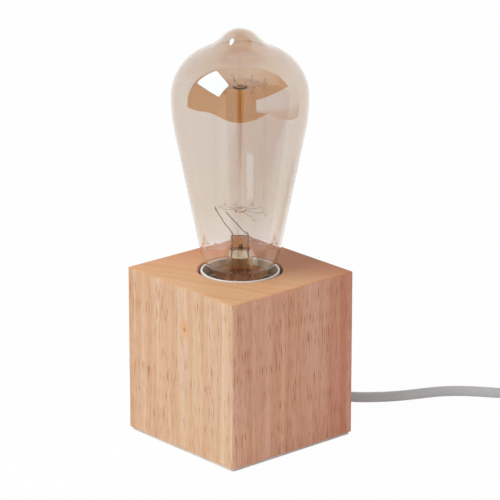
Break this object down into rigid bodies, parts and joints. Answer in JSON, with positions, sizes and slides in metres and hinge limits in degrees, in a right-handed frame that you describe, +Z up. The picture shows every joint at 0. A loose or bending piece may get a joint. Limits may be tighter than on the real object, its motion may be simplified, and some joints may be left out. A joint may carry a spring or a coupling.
{
  "type": "table lamp",
  "caption": "Bare-bulb table lamp: square wooden block with a sunk screw lampholder, an amber pear-shaped filament bulb, and a mains cord with an inline rocker switch and a plug.",
  "frame": {"origin": "centre of the wooden block's underside, on the table", "axes": "+Z up along the bulb; +Y is the back, where the cord leaves; +X is the right-hand side face"},
  "size_m": [0.1075, 0.2962, 0.1977],
  "materials": {
    "wood": "satin lacquer",
    "pad": "felt",
    "holder_plastic": "satin",
    "ceramic": "unglazed ceramic",
    "shell_metal": "nickel-plated",
    "brass": "bright",
    "steel": "zinc-plated",
    "brown_wire": "satin",
    "blue_wire": "satin",
    "cord_sheath": "soft satin",
    "tie": "satin",
    "switch_plastic": "satin",
    "rocker_plastic": "semi-gloss",
    "pin_metal": "nickel-plated",
    "solder": "dull solder",
    "cap_metal": "nickel-plated",
    "cap_glass": "black glass",
    "amber_glass": "amber-coated, polished",
    "stem_glass": "polished",
    "support_wire": "drawn wire",
    "filament": "dull"
  },
  "bodies": {
    "base": {"base_block": "wood", "base_pad": "pad", "holder_skirt": "holder_plastic", "holder_dome": "holder_plastic", "holder_insert": "ceramic", "thread_shell": "shell_metal", "contact_leaf": "brass", "contact_rivets": "brass", "terminal_blocks": "brass", "terminal_screws": "steel", "threaded_nipple": "steel", "nipple_washer": "steel", "nipple_nut": "steel", "lead_live": "brown_wire", "lead_neutral": "blue_wire", "clamp_block": "holder_plastic", "clamp_bar": "holder_plastic", "clamp_screws": "steel", "cord_inner": "cord_sheath", "cord_bushing": "cord_sheath", "cord_run_near": "cord_sheath", "cord_run_far": "cord_sheath", "cord_coil": "cord_sheath", "coil_tie": "tie", "cord_tail": "cord_sheath", "switch_base": "switch_plastic", "switch_cover": "switch_plastic", "switch_axle": "steel", "switch_contacts": "brass", "switch_wires": "brown_wire", "switch_screws": "steel", "plug_body": "cord_sheath", "plug_pins": "pin_metal"},
    "rocker": {"switch_rocker": "rocker_plastic"},
    "bulb_tip": {"bulb_contact": "solder"},
    "bulb": {"bulb_cap": "cap_metal", "cap_insulator": "cap_glass", "bulb_glass": "amber_glass", "stem_flare": "stem_glass", "stem_press": "stem_glass", "exhaust_tube": "stem_glass", "support_rod": "stem_glass", "upper_button": "stem_glass", "lower_button": "stem_glass", "upper_hooks": "support_wire", "lower_hooks": "support_wire", "lead_wire_left": "support_wire", "lead_wire_right": "support_wire", "filament": "filament"}
  },
  "joints": [
    {"name": "bulb_lift", "type": "slide", "parent": "base", "child": "bulb_tip", "axis": [0, 0, 1], "range_m": [0, 0.0109]},
    {"name": "bulb_turn", "type": "hinge", "parent": "bulb_tip", "child": "bulb", "pos_m": [0, 0, 0.0534], "axis": [0, 0, 1], "range_deg": [0, 1080]},
    {"name": "rocker_tilt", "type": "hinge", "parent": "base", "child": "rocker", "pos_m": [0.06, 0.173, 0.009], "axis": [1, 0, 0], "range_deg": [0, 14]}
  ],
  "couplings": [
    {"joint": "bulb_lift", "follows": "bulb_turn", "m_per_rad": 0.0005776}
  ]
}
